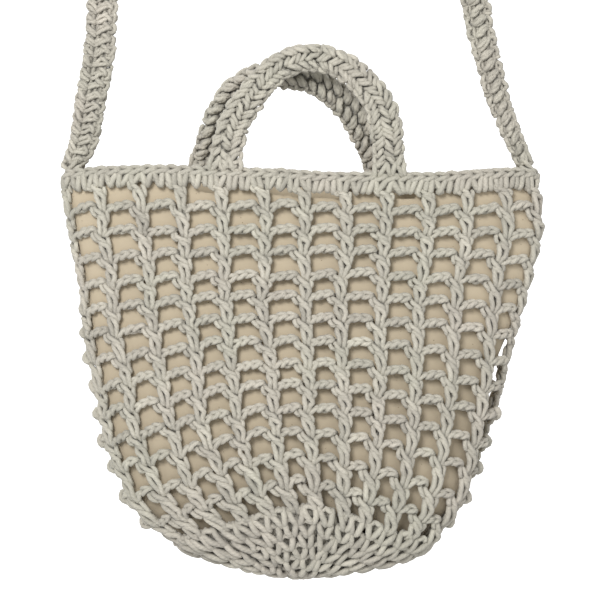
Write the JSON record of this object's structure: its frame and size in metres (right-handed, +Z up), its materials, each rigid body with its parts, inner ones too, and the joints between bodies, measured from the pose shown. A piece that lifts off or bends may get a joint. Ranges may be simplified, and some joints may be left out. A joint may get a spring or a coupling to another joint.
{
  "type": "crocheted cord tote",
  "caption": "Crocheted cord tote with an open net body, closed base, tight rim, twin top handles, a long shoulder strap and a calico liner pouch.",
  "frame": {"origin": "inside top of the shoulder strap's loop, where it sits on a shoulder or peg", "axes": "+Z up, -Y out of the front of the bag, +X to the viewer's right across the mouth"},
  "size_m": [0.3483, 0.0824, 0.7999],
  "materials": {
    "cotton_cord": "natural undyed cotton cord, soft and matt",
    "calico_lining": "unbleached calico with small dark flecks, matt"
  },
  "bodies": {
    "root": {"net_body": "cotton_cord", "rim_band": "cotton_cord", "front_handle": "cotton_cord", "back_handle": "cotton_cord", "shoulder_strap": "cotton_cord", "liner_pouch": "calico_lining"}
  },
  "joints": []
}
